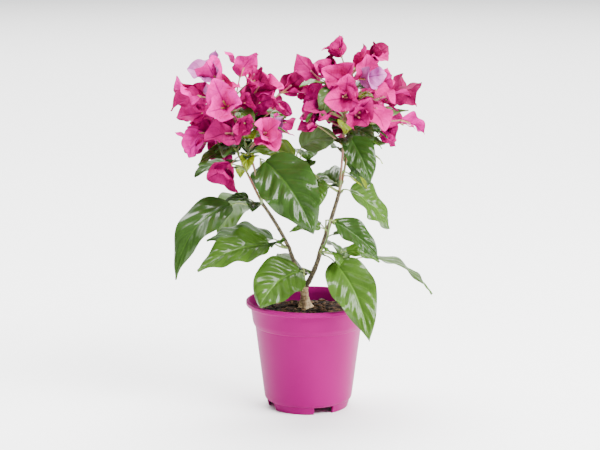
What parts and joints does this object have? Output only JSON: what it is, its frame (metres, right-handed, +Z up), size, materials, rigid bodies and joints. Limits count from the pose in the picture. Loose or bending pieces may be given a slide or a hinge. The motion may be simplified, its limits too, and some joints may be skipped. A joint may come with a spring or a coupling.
{
  "type": "potted bougainvillea",
  "caption": "Young bougainvillea with glossy leaves and pink bracts, on a forked stem in a pink plastic pot.",
  "frame": {"origin": "middle of the plant's box in plan, on the surface under the pot's foot", "axes": "+Z up along the pot's axis; -Y towards the side with the two forward boughs; +X to that side's right"},
  "size_m": [0.2734, 0.1589, 0.3907],
  "materials": {
    "pot_plastic": "satin moulded plastic",
    "potting_mix": "damp loose compost",
    "bark": "smooth thin bark",
    "leaves": "glossy leaf",
    "bracts": "matt papery bract"
  },
  "bodies": {
    "root": {"pot": "pot_plastic", "soil": "potting_mix", "trunk": "bark", "left_bough": "bark", "left_upper_bough": "bark", "right_bough": "bark", "right_upper_bough": "bark", "front_low_leaves": "leaves", "left_low_leaves": "leaves", "right_low_leaves": "leaves", "right_mid_leaves": "leaves", "right_side_leaves": "leaves", "left_side_leaves": "leaves", "centre_front_leaf": "leaves", "centre_leaves": "leaves", "right_back_leaves": "leaves", "left_bloom": "bracts", "right_bloom": "bracts", "back_low_leaves": "leaves", "left_low_back_leaves": "leaves", "right_mid_back_leaves": "leaves", "left_side_back_leaves": "leaves", "centre_back_leaf": "leaves", "left_back_bloom": "bracts", "right_back_bloom": "bracts"}
  },
  "joints": []
}
